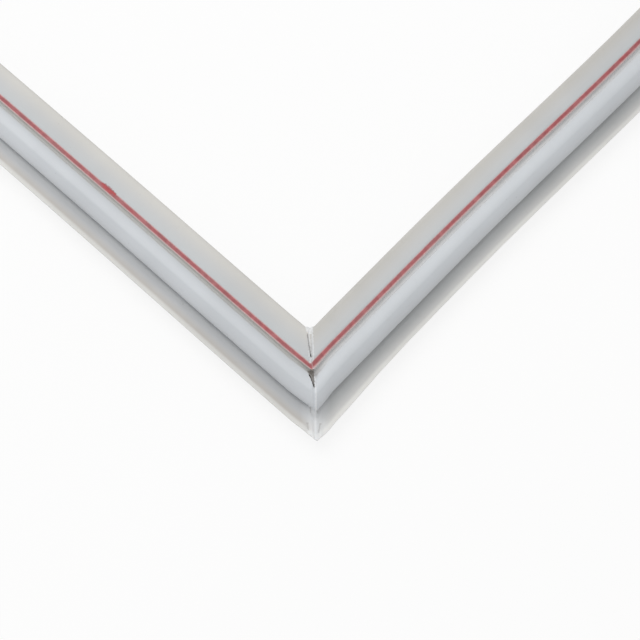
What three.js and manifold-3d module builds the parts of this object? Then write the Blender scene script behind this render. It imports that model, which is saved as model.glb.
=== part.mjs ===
// A refrigerator door gasket: one closed ring of soft PVC profile, mitred and welded at its four
// corners, with a marker line extruded into it and a loose magnet strip inside each side.
// Millimetres, +Z up. The ring lies flat, standing on the tip of its dart, magnet face up.
// The origin is the middle of the ring at the dart's tip.
// A section is drawn in s and z: s runs outwards from the dart's centre line, z up from its tip.

import * as THREE from "three";
import { mergeVertices } from "three/addons/utils/BufferGeometryUtils.js";
import Module from "manifold-3d";

// Ring, measured from dart to dart as such gaskets are ordered
const dartSpanX = 440;
const dartSpanY = 500;

// Dart, which is pushed into the groove of the door
const dartTipWidth = 2.2;
const dartStemWidth = 2.6;
const barbSpan = 6.6;
const barbHeight = 3.1;
const barbUndercut = 0.9;
const stemHeight = 0.6;
const finSpan = 5.2;
const finHeight = 1.3;
const finUndercut = 0.4;
const neckHeight = 1.7;

// Base, which lies on the door, and its two lips
const baseThickness = 1.5;
const innerLipWidth = 3;
const innerLipTip = 0.7;
const skirtReach = 18.4;
const skirtThickness = 1.1;
const skirtDroop = 1.2;
const rimWidth = 2.8;
const rimLift = 0.5;

// Pocket of the magnet strips
const pocketInnerReach = 16;
const pocketWidth = 14.1;
const pocketHeight = 4.8;
const pocketWall = 0.9;
const pocketRounding = 1.1;
const pocketEdgeRounding = 0.5;

// Soft walls between the base and the pocket
const bellowsHeight = 5.7;
const bellowsFold = 3.4;
const bellowsRootInset = 3.6;
const bellowsFootReach = 8.2;
const softWall = 0.9;

// Hollow bulb beside the pocket
const bulbDrop = 0.9;
const bulbLean = 0.5;
const bulbCrown = 0.6;
const bulbTopWidth = 5.7;
const bulbFootReach = 7.6;
const bulbOverhang = 2.2;
const bulbWaist = 4.6;
const creaseWidth = 1;
const valleyWidth = 2.3;
const valleyDepth = 2.9;

// Marker line along the pocket's outer edge
const markerWidth = 2.2;
const markerThickness = 0.3;
const markerInset = 0.5;

// Magnet strips
const magnetSideClearance = 0.6;
const magnetTopClearance = 0.6;
const magnetEndGap = 3;

// Ridges of the welded corners
const beadWidth = 1;
const beadProud = 0.4;
const beadEmbed = 0.4;
const beadGap = 0.5;

// Faults of the one weld that has parted: a slit in the pocket and a hole in the valley
const partedCorner = [1, -1];
const slitWidth = 0.5;
const slitLength = 7.6;
const slitReachInside = 0.5;
const holeSetback = 0.25;
const holeWidth = 2.4;
const holeTipWidth = 0.5;
const holeLength = 5;
const holeReachInside = 2.6;

// How finely a curve is broken into straight steps
const curveSteps = 10;
const cornerSteps = 5;

// Levels and reaches that follow from the sizes above
const barbTop = barbHeight + barbUndercut;
const finBottom = barbTop + stemHeight;
const finTop = finBottom + finHeight + finUndercut;
const baseBottom = finTop + neckHeight;
const baseTop = baseBottom + baseThickness;
const baseOuterReach = bulbFootReach + creaseWidth;
const innerLipReach = bellowsFootReach + innerLipWidth;
const pocketBottom = baseTop + bellowsHeight;
const pocketTop = pocketBottom + pocketHeight;
const pocketInner = -pocketInnerReach;
const pocketOuter = pocketInner + pocketWidth;
const pocketMiddle = (pocketInner + pocketOuter) / 2;
const markerOuter = pocketOuter - markerInset;
const markerInner = markerOuter - markerWidth;
const bulbTop = pocketTop - bulbDrop;
const bulbInner = pocketOuter + valleyWidth;
const bulbShoulder = bulbInner + bulbTopWidth;
const bulbReach = bulbFootReach + bulbOverhang;
const bulbWidest = baseTop + bulbWaist;
const valleyFloor = pocketTop - valleyDepth;
const holeStart = pocketOuter + holeSetback;
const holeEnd = holeStart + holeLength;
const magnetWidth = pocketWidth - 2 * (pocketWall + magnetSideClearance);
const magnetThickness = pocketHeight - 2 * pocketWall - magnetTopClearance;

const wasm = await Module();
wasm.setup();

// Turns a closed geometry into a solid that can be joined and cut.
function solid(geometry) {
  const bare = geometry.index ? geometry.toNonIndexed() : geometry.clone();
  bare.deleteAttribute("normal");
  bare.deleteAttribute("uv");
  const merged = mergeVertices(bare, 1e-3);
  return new wasm.Manifold(
    new wasm.Mesh({
      numProp: 3,
      vertProperties: merged.attributes.position.array,
      triVerts: new Uint32Array(merged.index.array),
    }),
  );
}

// Turns a solid back into a geometry.
function geometryOf(made) {
  const mesh = made.getMesh();
  const geometry = new THREE.BufferGeometry();
  geometry.setAttribute("position", new THREE.BufferAttribute(mesh.vertProperties, 3));
  geometry.setIndex(new THREE.BufferAttribute(mesh.triVerts, 1));
  const faceted = geometry.toNonIndexed();
  faceted.computeVertexNormals();
  return faceted;
}

// Rounds to a ten-thousandth, so that faces of neighbouring pieces share one plane.
function rounded(value) {
  return Math.round(value * 1e4) / 1e4;
}

// Runs a closed outline of section points round the ring, with mitred corners.
function ringGeometry(points) {
  const open = points.filter((p, i) => i === 0 || p.distanceTo(points[i - 1]) > 1e-3);
  if (open[0].distanceTo(open[open.length - 1]) < 1e-3) open.pop();
  const outline = THREE.ShapeUtils.isClockWise(open) ? open.reverse() : open;
  const profile = outline.map((p) => new THREE.Vector2(Math.SQRT2 * p.x, p.y));
  const start = (Math.SQRT2 * dartSpanY) / 2;
  const turned = [...profile, profile[0]].map((p) => new THREE.Vector2(p.x + start, p.y));
  const lathe = new THREE.LatheGeometry(turned, 4, Math.PI / 4, 2 * Math.PI);
  lathe.rotateX(Math.PI / 2);
  const stretch = (dartSpanX - dartSpanY) / 2;
  const place = lathe.attributes.position;
  for (let i = 0; i < place.count; i += 1) {
    const x = place.getX(i) + Math.sign(place.getX(i)) * stretch;
    place.setXYZ(i, rounded(x), rounded(place.getY(i)), rounded(place.getZ(i)));
  }
  return lathe;
}

function ring(points) {
  return solid(ringGeometry(points));
}

// A plain rectangle of the section.
function block(inner, outer, bottom, top) {
  return [
    new THREE.Vector2(inner, bottom),
    new THREE.Vector2(outer, bottom),
    new THREE.Vector2(outer, top),
    new THREE.Vector2(inner, top),
  ];
}

// A band along a line of section points that has the open air on its right.
function band(line, outwards, inwards) {
  const offset = (by) =>
    line.map((p, i) => {
      const before = line[Math.max(i - 1, 0)];
      const after = line[Math.min(i + 1, line.length - 1)];
      const along = new THREE.Vector2().subVectors(after, before).normalize();
      return new THREE.Vector2(p.x - along.y * by, p.y + along.x * by);
    });
  return [...offset(inwards), ...offset(-outwards).reverse()];
}

// Dart, base, inner lip and skirt, which are one thick shape.
function baseOutline() {
  const shape = new THREE.Shape();
  const dartSide = dartSidePoints();
  shape.moveTo(dartSide[0].x, dartSide[0].y);
  for (const p of dartSide.slice(1)) shape.lineTo(p.x, p.y);
  shape.lineTo(baseOuterReach, baseBottom);
  skirtUnderside(shape);
  skirtTopside(shape);
  shape.lineTo(-bellowsFootReach, baseTop);
  shape.lineTo(-innerLipReach, baseBottom + innerLipTip);
  shape.lineTo(-innerLipReach, baseBottom);
  for (const p of dartSide.reverse()) shape.lineTo(-p.x, p.y);
  return shape.getPoints(curveSteps);
}

// The dart's outer side, from its tip up over the barb and the fin to the base.
function dartSidePoints() {
  const stem = dartStemWidth / 2;
  return [
    new THREE.Vector2(dartTipWidth / 2, 0),
    new THREE.Vector2(barbSpan / 2, barbHeight),
    new THREE.Vector2(stem, barbTop),
    new THREE.Vector2(stem, finBottom),
    new THREE.Vector2(finSpan / 2, finBottom + finHeight),
    new THREE.Vector2(stem, finTop),
    new THREE.Vector2(stem, baseBottom),
  ];
}

function skirtUnderside(path) {
  const troughS = skirtReach - rimWidth;
  const troughZ = baseTop - skirtDroop - skirtThickness;
  const tipZ = troughZ + rimLift;
  const reach = (troughS - baseOuterReach) / 2;
  path.bezierCurveTo(
    baseOuterReach + reach, baseBottom,
    troughS - reach, troughZ,
    troughS, troughZ,
  );
  path.quadraticCurveTo(troughS + rimWidth / 2, troughZ, skirtReach, tipZ);
}

// From the rim's tip inwards to the crease under the bulb.
function skirtTopside(path) {
  const troughS = skirtReach - rimWidth;
  const troughZ = baseTop - skirtDroop;
  const reach = (troughS - baseOuterReach) / 2;
  path.lineTo(skirtReach, troughZ + rimLift);
  path.quadraticCurveTo(troughS + rimWidth / 2, troughZ, troughS, troughZ);
  path.bezierCurveTo(
    troughS - reach, troughZ,
    baseOuterReach + reach, baseTop,
    baseOuterReach, baseTop,
  );
}

// The pocket's outside, rounded most along the ring's inner edge.
function pocketOutline() {
  const shape = new THREE.Shape();
  const r = pocketRounding;
  const e = pocketEdgeRounding;
  shape.moveTo(pocketInner + r, pocketBottom);
  shape.lineTo(pocketOuter - e, pocketBottom);
  shape.absarc(pocketOuter - e, pocketBottom + e, e, -Math.PI / 2, 0, false);
  shape.lineTo(pocketOuter, pocketTop - e);
  shape.absarc(pocketOuter - e, pocketTop - e, e, 0, Math.PI / 2, false);
  shape.lineTo(pocketInner + r, pocketTop);
  shape.absarc(pocketInner + r, pocketTop - r, r, Math.PI / 2, Math.PI, false);
  shape.lineTo(pocketInner, pocketBottom + r);
  shape.absarc(pocketInner + r, pocketBottom + r, r, Math.PI, 1.5 * Math.PI, false);
  return shape.getPoints(cornerSteps);
}

function pocketHollow() {
  return block(
    pocketInner + pocketWall,
    pocketOuter - pocketWall,
    pocketBottom + pocketWall,
    pocketTop - pocketWall,
  );
}

// The bulb's outer face, from its foot in the base, out to its widest and up to its shoulder.
function bulbFlank(path) {
  const rise = bulbWidest - baseTop;
  const fall = bulbTop - bulbWidest;
  path.moveTo(bulbFootReach, baseTop - baseThickness / 2);
  path.bezierCurveTo(
    bulbFootReach, baseTop + rise / 2,
    bulbReach, bulbWidest - rise / 2,
    bulbReach, bulbWidest,
  );
  path.bezierCurveTo(
    bulbReach, bulbWidest + fall / 2,
    bulbShoulder + (bulbReach - bulbShoulder) / 3, bulbTop - fall / 8,
    bulbShoulder, bulbTop,
  );
}

// From the shoulder over the crown and down into the valley beside the pocket.
function bulbCrest(path) {
  const innerTop = bulbTop - bulbLean;
  const flankDrop = innerTop - valleyFloor;
  path.quadraticCurveTo(
    (bulbInner + bulbShoulder) / 2, bulbTop + bulbCrown,
    bulbInner, innerTop,
  );
  path.bezierCurveTo(
    bulbInner - valleyWidth / 3, innerTop - flankDrop / 4,
    bulbInner - valleyWidth / 4, valleyFloor,
    bulbInner - valleyWidth / 2, valleyFloor,
  );
  path.lineTo(pocketOuter - pocketWall / 2, valleyFloor);
}

function bulbLine() {
  const path = new THREE.Path();
  bulbFlank(path);
  bulbCrest(path);
  return path.getPoints(curveSteps);
}

// The folded wall under the pocket's inner half.
function bellowsLine() {
  const path = new THREE.Path();
  const root = pocketInner + bellowsRootInset;
  path.moveTo(-bellowsFootReach, baseTop - softWall / 2);
  path.quadraticCurveTo(
    root - bellowsFold, (baseTop + pocketBottom) / 2,
    root, pocketBottom + pocketWall / 2,
  );
  return path.getPoints(curveSteps);
}

// Places a solid drawn at a corner: its X runs outwards along the mitre, its Z is up.
function atCorner(geometry, signX, signY) {
  const placed = geometry.clone();
  placed.rotateZ(Math.atan2(signY, signX));
  placed.translate((signX * dartSpanX) / 2, (signY * dartSpanY) / 2, 0);
  return solid(placed);
}

// A thin plate standing in the mitre plane, with the given outline of section points.
function mitrePlate(points) {
  const shape = new THREE.Shape(points.map((p) => new THREE.Vector2(Math.SQRT2 * p.x, p.y)));
  const plate = new THREE.ExtrudeGeometry(shape, { depth: beadWidth, bevelEnabled: false });
  plate.translate(0, 0, -beadWidth / 2);
  plate.rotateX(Math.PI / 2);
  return plate;
}

// The weld's ridge over the pocket's inner edge and top, as far as the marker line.
function pocketBead() {
  const path = new THREE.Path();
  const r = pocketRounding;
  path.moveTo(markerInner - beadGap, pocketTop);
  path.lineTo(pocketInner + r, pocketTop);
  path.absarc(pocketInner + r, pocketTop - r, r, Math.PI / 2, Math.PI, false);
  path.lineTo(pocketInner, pocketBottom + pocketHeight / 2);
  return mitrePlate(band(path.getPoints(cornerSteps), beadProud, beadEmbed));
}

// The weld's ridge over the bulb, from its crown down to the crease.
function bulbBead() {
  const line = bulbLine().filter((p) => p.x > holeEnd && p.y > baseTop);
  return mitrePlate(band(line, beadProud, beadEmbed));
}

// The weld's ridge along the top of the skirt.
function skirtBead() {
  const path = new THREE.Path();
  path.moveTo(skirtReach, baseTop);
  skirtTopside(path);
  const line = path.getPoints(curveSteps).slice(1);
  line.push(new THREE.Vector2(bulbFootReach - softWall, baseTop));
  return mitrePlate(band(line, beadProud / 2, beadEmbed));
}

// The hole that the parted weld leaves in the valley and up the bulb's inner side.
function weldHole() {
  const start = Math.SQRT2 * holeStart;
  const end = Math.SQRT2 * holeEnd;
  const shape = new THREE.Shape([
    new THREE.Vector2(start, -holeWidth / 2),
    new THREE.Vector2(start + holeWidth, -holeWidth / 2),
    new THREE.Vector2(end, -holeTipWidth / 2),
    new THREE.Vector2(end, holeTipWidth / 2),
    new THREE.Vector2(start + holeWidth, holeWidth / 2),
    new THREE.Vector2(start, holeWidth / 2),
  ]);
  const bottom = valleyFloor - softWall - holeReachInside;
  const cut = new THREE.ExtrudeGeometry(shape, {
    depth: pocketTop + bulbCrown - bottom,
    bevelEnabled: false,
  });
  cut.translate(0, 0, bottom);
  return cut;
}

// The slit that it leaves beside its ridge on the pocket's top.
function weldSlit() {
  const end = Math.SQRT2 * (markerInner - beadGap);
  const length = Math.SQRT2 * slitLength;
  const cut = new THREE.BoxGeometry(length, slitWidth, 2 * (pocketWall + slitReachInside));
  cut.translate(end - length / 2, -(beadWidth + slitWidth) / 2, pocketTop);
  return cut;
}

const corners = [
  [1, 1],
  [-1, 1],
  [-1, -1],
  [1, -1],
];

function gasketBody() {
  let body = ring(baseOutline());
  body = body.add(ring(pocketOutline()));
  body = body.subtract(ring(pocketHollow()));
  const bulb = ring(band(bulbLine(), 0, softWall));
  const bellows = ring(band(bellowsLine(), softWall / 2, softWall / 2));
  body = body.add(bulb.subtract(ring(pocketOutline())));
  body = body.add(bellows.subtract(ring(pocketHollow())));
  for (const [signX, signY] of corners) {
    for (const bead of [pocketBead(), bulbBead(), skirtBead()]) {
      body = body.add(atCorner(bead, signX, signY));
    }
  }
  for (const cut of [weldSlit(), weldHole()]) {
    body = body.subtract(atCorner(cut, ...partedCorner));
  }
  return geometryOf(body.subtract(ring(markerOutline())));
}

function markerOutline() {
  return block(markerInner, markerOuter, pocketTop - markerThickness, pocketTop);
}

function markerLine() {
  return ringGeometry(markerOutline());
}

// One magnet strip, cut square at both ends, lying on the pocket's floor.
function magnetStrip(span, alongX) {
  const clear = span + 2 * (pocketMiddle - magnetWidth / 2) - 2 * magnetEndGap;
  return alongX
    ? new THREE.BoxGeometry(clear, magnetWidth, magnetThickness)
    : new THREE.BoxGeometry(magnetWidth, clear, magnetThickness);
}

const softGrey = new THREE.MeshStandardMaterial({ color: 0xd0d1d2, roughness: 0.5, metalness: 0 });
const markerRed = new THREE.MeshStandardMaterial({ color: 0xb8474d, roughness: 0.5, metalness: 0 });
const ferrite = new THREE.MeshStandardMaterial({ color: 0x3a2f2b, roughness: 0.7, metalness: 0 });

const gasket = new THREE.Group();

function addPiece(name, geometry, material, place = [0, 0, 0]) {
  const mesh = new THREE.Mesh(geometry, material);
  mesh.name = name;
  mesh.position.set(...place);
  gasket.add(mesh);
}

addPiece("gasket_body", gasketBody(), softGrey);
addPiece("marker_line", markerLine(), markerRed);

const magnetZ = pocketBottom + pocketWall + magnetThickness / 2;
const magnetX = dartSpanX / 2 + pocketMiddle;
const magnetY = dartSpanY / 2 + pocketMiddle;
addPiece("magnet_strip_top", magnetStrip(dartSpanX, true), ferrite, [0, magnetY, magnetZ]);
addPiece("magnet_strip_bottom", magnetStrip(dartSpanX, true), ferrite, [0, -magnetY, magnetZ]);
addPiece("magnet_strip_left", magnetStrip(dartSpanY, false), ferrite, [-magnetX, 0, magnetZ]);
addPiece("magnet_strip_right", magnetStrip(dartSpanY, false), ferrite, [magnetX, 0, magnetZ]);

export default gasket;
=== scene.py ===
# A refrigerator door gasket: one closed ring of soft PVC profile with its red marker line and the
# four magnet strips inside it. Metres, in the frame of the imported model: +Z up, magnet face up,
# standing on the tip of its dart. A section is drawn in s and z: s runs outwards from the dart's
# centre line, z up from its tip. At a corner, along is measured outwards on the mitre from the
# dart's corner, and off to the side of it, positive on the side that runs along Y. Left and right
# are the two sides that meet in the shown corner: left runs along X, right along Y.

import math

import bmesh
import bpy
import numpy as np
from bpy.props import FloatProperty, FloatVectorProperty, IntProperty, PointerProperty
from mathutils import Matrix, Vector, noise
from mathutils.geometry import interpolate_bezier


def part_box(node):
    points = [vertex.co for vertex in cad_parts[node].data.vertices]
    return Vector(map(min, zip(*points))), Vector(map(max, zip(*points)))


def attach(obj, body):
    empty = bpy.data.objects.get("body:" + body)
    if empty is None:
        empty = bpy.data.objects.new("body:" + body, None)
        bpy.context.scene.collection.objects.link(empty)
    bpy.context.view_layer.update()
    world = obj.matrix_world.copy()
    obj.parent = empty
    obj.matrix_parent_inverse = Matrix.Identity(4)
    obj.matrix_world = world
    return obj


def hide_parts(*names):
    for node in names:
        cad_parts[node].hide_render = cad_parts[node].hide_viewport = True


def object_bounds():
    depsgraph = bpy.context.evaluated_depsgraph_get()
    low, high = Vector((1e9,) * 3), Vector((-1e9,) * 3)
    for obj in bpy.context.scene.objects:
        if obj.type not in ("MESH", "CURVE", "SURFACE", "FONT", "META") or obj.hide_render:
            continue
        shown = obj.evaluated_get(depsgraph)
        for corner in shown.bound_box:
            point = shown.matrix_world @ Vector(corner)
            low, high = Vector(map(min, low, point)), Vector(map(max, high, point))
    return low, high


bl_info = {
    "name": "Refrigerator door gasket",
    "version": (1, 0, 0),
    "blender": (4, 5, 0),
    "location": "3D View > Sidebar > Door gasket",
    "description": "Builds a magnetic refrigerator door gasket with its welded corners",
    "category": "Add Mesh",
}

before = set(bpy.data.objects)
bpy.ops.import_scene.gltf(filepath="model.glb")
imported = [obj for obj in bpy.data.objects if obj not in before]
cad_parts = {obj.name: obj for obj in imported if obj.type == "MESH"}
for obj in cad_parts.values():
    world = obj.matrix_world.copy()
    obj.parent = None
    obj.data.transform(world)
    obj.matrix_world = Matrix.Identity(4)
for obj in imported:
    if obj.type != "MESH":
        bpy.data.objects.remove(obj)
CAD_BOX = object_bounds()

MM = 0.001
BODY = "root"
STRIPS = ("magnet_strip_top", "magnet_strip_bottom", "magnet_strip_left", "magnet_strip_right")

# Corner that the photo shows, as the signs of its X and Y
SHOWN = (1, -1)

# Edges that turn by less than this are shaded smooth
SMOOTH_UP_TO = math.radians(40)


def length(millimetres, description):
    """A size in the sidebar, given here in millimetres."""
    return FloatProperty(description=description, default=millimetres * MM, unit="LENGTH", precision=5)


def angle(degrees, description):
    """An angle in the sidebar, given here in degrees."""
    return FloatProperty(description=description, default=math.radians(degrees), subtype="ANGLE")


def colour(rgb, description):
    """A colour in the sidebar, given as it looks on a screen, from 0 to 255."""
    linear = [pow(value / 255, 2.2) for value in rgb]
    return FloatVectorProperty(description=description, default=(*linear, 1), size=4, subtype="COLOR")


class DartSizes(bpy.types.PropertyGroup):
    """The dart, which is pushed into the groove of the door."""

    tip_width: length(2.2, "Flat that the loose ring lies on")
    stem_width: length(2.6, "Thickness of the dart between its barbs")
    barb_span: length(6.6, "Width over the barbs")
    barb_height: length(3.1, "From the tip to the barbs' edges")
    barb_undercut: length(0.9, "From the barbs' edges up to the stem")
    stem_height: length(0.6, "Bare stem between barbs and fins")
    fin_span: length(5.2, "Width over the fins")
    fin_height: length(1.3, "Slope of the fins")
    fin_undercut: length(0.4, "From the fins' edges up to the stem")
    neck_height: length(1.7, "Bare stem between fins and base")


class BaseSizes(bpy.types.PropertyGroup):
    """The base, which lies on the door, with its inner lip and outer skirt."""

    thickness: length(1.5, "Thickness of the base")
    lip_width: length(3.0, "Inner lip beyond the folded wall")
    lip_tip: length(0.7, "Thickness at the inner lip's edge")
    skirt_reach: length(18.4, "From the dart to the skirt's rim")
    skirt_thickness: length(1.1, "Thickness of the skirt")
    skirt_droop: length(1.2, "How far the skirt hangs below the base's top")
    rim_width: length(2.8, "Strip along the rim that turns up again")
    rim_lift: length(0.5, "How far the rim turns up")
    sharp_rounding: length(0.18, "Radius along the section's sharp corners")


class PocketSizes(bpy.types.PropertyGroup):
    """The pocket of the magnet strips and the folded wall that carries it."""

    inner_reach: length(16.0, "From the dart to the pocket's inner side")
    width: length(14.1, "Width of the pocket")
    height: length(4.8, "Height of the pocket")
    wall: length(0.9, "Thickness of the pocket's walls")
    rounding: length(1.1, "Radius along the ring's inner edge")
    edge_rounding: length(0.5, "Radius beside the valley")
    hollow_rounding: length(0.25, "Radius in the hollow's corners")
    fold_height: length(5.7, "From the base up to the pocket")
    fold_depth: length(3.4, "How far the folded wall bows inwards")
    fold_root: length(3.6, "From the pocket's inner side to the folded wall's root")
    fold_foot: length(8.2, "From the dart to the folded wall's foot")
    soft_wall: length(0.9, "Thickness of the folded wall and of the bulb")


class BulbSizes(bpy.types.PropertyGroup):
    """The hollow bulb beside the pocket, and the valley between them."""

    drop: length(0.9, "From the pocket's top down to the bulb's shoulder")
    lean: length(0.5, "How much lower its inner side lies than its shoulder")
    crown: length(0.6, "How far its top is domed")
    top_width: length(5.7, "From the valley to the shoulder")
    foot_reach: length(7.6, "From the dart to the bulb's foot")
    overhang: length(2.9, "How far it bulges over its foot")
    waist: length(4.2, "Height of its widest place over the base")
    turn: length(3.0, "Height over that place at which its flank is straight again")
    crease_width: length(1.0, "Flat between its foot and the skirt")
    valley_width: length(2.3, "From the pocket to the bulb's top")
    valley_depth: length(2.1, "From the pocket's top down to the valley's floor")


class MarkerSizes(bpy.types.PropertyGroup):
    """The red line that is extruded into the pocket's outer edge."""

    width: length(2.2, "Width of the line")
    thickness: length(0.3, "How deep the red compound lies")
    inset: length(0.5, "From the pocket's outer side to the line")
    crown: length(0.04, "How far its face stands proud of the pocket")
    shift_left: length(0.7, "How far out the line runs on the left side")
    shift_right: length(-0.35, "How far out the line runs on the right side")
    blot_place: length(88.0, "X of the blot on the left side")
    blot_inward: length(0.9, "From the line's inner edge to the blot's middle")
    blot_length: length(5.5, "Half length of the blot")
    blot_width: length(1.6, "Half width of the blot")


class MagnetSizes(bpy.types.PropertyGroup):
    """The flexible magnet strips."""

    edge: length(0.2, "Bevel along the strip's edges")
    steps: IntProperty(description="Cuts along a strip, for its bend", default=24)


class WeldSizes(bpy.types.PropertyGroup):
    """The welds of the mitred corners, and what the shown one has of its own."""

    ridge_height: length(0.42, "How far the ridge of flash stands up")
    ridge_width: length(0.5, "Half width of the ridge over bulb and skirt")
    twin_spread: length(0.75, "From the mitre to each crest over the pocket")
    twin_width: length(0.42, "Half width of those crests")
    slit_width: length(0.6, "Width of the slit beside the ridge")
    slit_start: length(20.3, "From the dart's corner to the slit's inner end")
    slit_end: length(9.2, "From the dart's corner to the slit's outer end")
    slit_beside: length(1.2, "From the mitre to the slit's inner end")
    slit_over: length(0.15, "How far past the mitre its outer end lies")
    aside: length(1.45, "How far the seam of bulb and skirt lies to the right of the mitre")
    web_reach: length(2.4, "Half width of the web of flash in the inner corner")
    web_depth: length(1.35, "How far that web fills the inner corner")
    web_lift: length(0.25, "How far that web stands up")
    fill_reach: length(2.2, "Half width of the melted patch in the crease")
    flare: length(1.9, "How far the skirt bulges out beside the corner")
    flare_place: length(6.0, "From the mitre to where that bulge is largest")
    flare_reach: length(45.0, "From the mitre to where that bulge ends")
    skirt_out: length(0.5, "How far out the skirt of the left side lies")
    dent_depth: length(0.55, "Depth of the puckers in the skirt's corner")
    tear_depth: length(0.6, "Depth of the dent round the parted weld")


class BendSizes(bpy.types.PropertyGroup):
    """How the loose ring bends out of true."""

    bow: length(3.6, "How far the right side bows out in its middle")
    bow_reach: length(160.0, "Half length of that bow")
    wave: length(0.15, "How far the left side runs out beside the corner")
    lattice_points: IntProperty(description="Points of the bending lattice on each side", default=15)


class MaterialColours(bpy.types.PropertyGroup):
    """Colours of the PVC across the section, and of the other materials."""

    # Painted light: the warm tint of the thin inner wall stands in for light shining through it. The copy
    # for the sides along Y is darker, as painted shade.
    inner_edge: colour((203, 201, 196), "Warm thin wall along the inner edge")
    inner_edge_shaded: colour((193, 191, 186), "The same on the sides along Y")
    band: colour((194, 195, 195), "Flat band over the magnets")
    band_cool: colour((189, 193, 195), "Cooler strip beside the red line")
    # Painted light and shade on the wall beside the red line: lighter on the sides along Y, to lift the
    # groove's shade, and darker on the sides along X, as painted shade.
    valley: colour((212, 212, 212), "Wall beside the red line, on the sides along Y")
    valley_shaded: colour((197, 196, 192), "The same on the sides along X")
    bulb: colour((203, 207, 211), "Thick bluish wall of the bulb")
    # Painted light: the bulb's outer side and the underside of its bulge are lighter than its top, against
    # the shade they lie in.
    flank: colour((207, 210, 214), "Outer side of the bulb")
    # Painted shade: a cooler, darker tone on the skirt beside the bulb, where the bulb shades it, on both
    # kinds of side.
    crease: colour((188, 190, 190), "Skirt beside the bulb, on the sides along Y")
    crease_shade_x: colour((188, 190, 192), "The same on the sides along X")
    skirt: colour((200, 199, 197), "Thin skirt, on the sides along Y")
    # Painted shade: the skirt on the sides along X is darker than on the sides along Y.
    skirt_shaded: colour((186, 182, 176), "The same on the sides along X")
    # Painted light: the rim is lighter because light shines through the thin edge.
    rim: colour((221, 220, 216), "Edge of the skirt")
    base: colour((196, 196, 195), "Dart, base and folded wall")
    weld: colour((234, 236, 238), "Whitened flash of the welds")
    # Dark tone for real specks and scuffs from handling, and for painted shade at the crease ends, in the
    # skirt's puckers, beside the slit and in the valley near the shown corner; it also darkens the sunk
    # patch round the parted weld.
    grime: colour((116, 110, 104), "Dirt in creases and in the parted weld")
    red: colour((151, 68, 72), "Marker line")
    red_edge: colour((204, 163, 162), "Line's edges, where the red compound is thin")
    stained: colour((201, 184, 182), "PVC beside the marker line")
    red_bright: colour((166, 52, 55), "Blots of the red compound")
    ferrite: colour((64, 54, 50), "Flexible magnet strip")
    floor: colour((246, 246, 245), "Ground")
    floor_light: colour((253, 253, 253), "Lighter clouds in the ground")


class StageSettings(bpy.types.PropertyGroup):
    """Camera and light."""

    azimuth: angle(36.71, "Camera's turn about Z, from the -Y side")
    elevation: angle(68.14, "Camera's height over the floor")
    roll: angle(6.02, "Camera's turn about its own axis")
    distance: length(1000.0, "From the camera to what it looks at")
    lens: FloatProperty(description="Focal length in millimetres", default=119.9)
    aim_back: length(4.6, "Aim along -X from the shown inner corner")
    aim_up: length(13.2, "Aim along +Y from the shown inner corner")
    key_power: FloatProperty(description="Power of the large lamp", default=14.0, unit="POWER")
    key_size: length(1500.0, "Side of the large lamp")
    key_distance: length(1600.0, "From the ring to the large lamp")
    key_tilt: angle(40, "Large lamp's tilt from the view axis")
    key_turn: angle(114, "Large lamp's side, in the picture, from its right")
    fill: FloatProperty(description="Strength of the light from all round", default=0.58)
    floor_size: length(6000.0, "Side of the floor")
    glow: FloatProperty(description="Share of white in the floor as seen", default=0.85)


class GasketSettings(bpy.types.PropertyGroup):
    """All sizes, colours and settings of the gasket."""

    dart: PointerProperty(type=DartSizes)
    base: PointerProperty(type=BaseSizes)
    pocket: PointerProperty(type=PocketSizes)
    bulb: PointerProperty(type=BulbSizes)
    marker: PointerProperty(type=MarkerSizes)
    magnet: PointerProperty(type=MagnetSizes)
    weld: PointerProperty(type=WeldSizes)
    bend: PointerProperty(type=BendSizes)
    colours: PointerProperty(type=MaterialColours)
    stage: PointerProperty(type=StageSettings)


def settings():
    return bpy.context.scene.door_gasket


class Levels:
    """Places in the section that follow from the sizes."""

    def __init__(self):
        dart, base, pocket = settings().dart, settings().base, settings().pocket
        bulb, marker = settings().bulb, settings().marker
        self.stem = dart.stem_width / 2
        self.barb_top = dart.barb_height + dart.barb_undercut
        self.fin_bottom = self.barb_top + dart.stem_height
        self.fin_top = self.fin_bottom + dart.fin_height + dart.fin_undercut
        self.base_bottom = self.fin_top + dart.neck_height
        self.base_top = self.base_bottom + base.thickness
        self.base_outer = bulb.foot_reach + bulb.crease_width
        self.lip = -pocket.fold_foot - base.lip_width
        self.pocket_bottom = self.base_top + pocket.fold_height
        self.pocket_top = self.pocket_bottom + pocket.height
        self.pocket_inner = -pocket.inner_reach
        self.pocket_outer = self.pocket_inner + pocket.width
        self.marker_outer = self.pocket_outer - marker.inset
        self.marker_inner = self.marker_outer - marker.width
        self.bulb_top = self.pocket_top - bulb.drop
        self.bulb_inner = self.pocket_outer + bulb.valley_width
        self.bulb_shoulder = self.bulb_inner + bulb.top_width
        self.bulb_reach = bulb.foot_reach + bulb.overhang
        self.bulb_widest = self.base_top + bulb.waist
        self.valley_floor = self.pocket_top - bulb.valley_depth
        self.trough = base.skirt_reach - base.rim_width
        self.trough_top = self.base_top - base.skirt_droop
        self.half_x = CAD_BOX[1].x - base.skirt_reach
        self.half_y = CAD_BOX[1].y - base.skirt_reach


# Modelling tools


def only(obj):
    """Makes one object the only one selected, and active."""
    if bpy.context.object:
        bpy.ops.object.mode_set(mode="OBJECT")
    bpy.ops.object.select_all(action="DESELECT")
    obj.select_set(True)
    bpy.context.view_layer.objects.active = obj


def named(name):
    """The object that was just added, with its name."""
    obj = bpy.context.object
    obj.name = obj.data.name = name
    return obj


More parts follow.
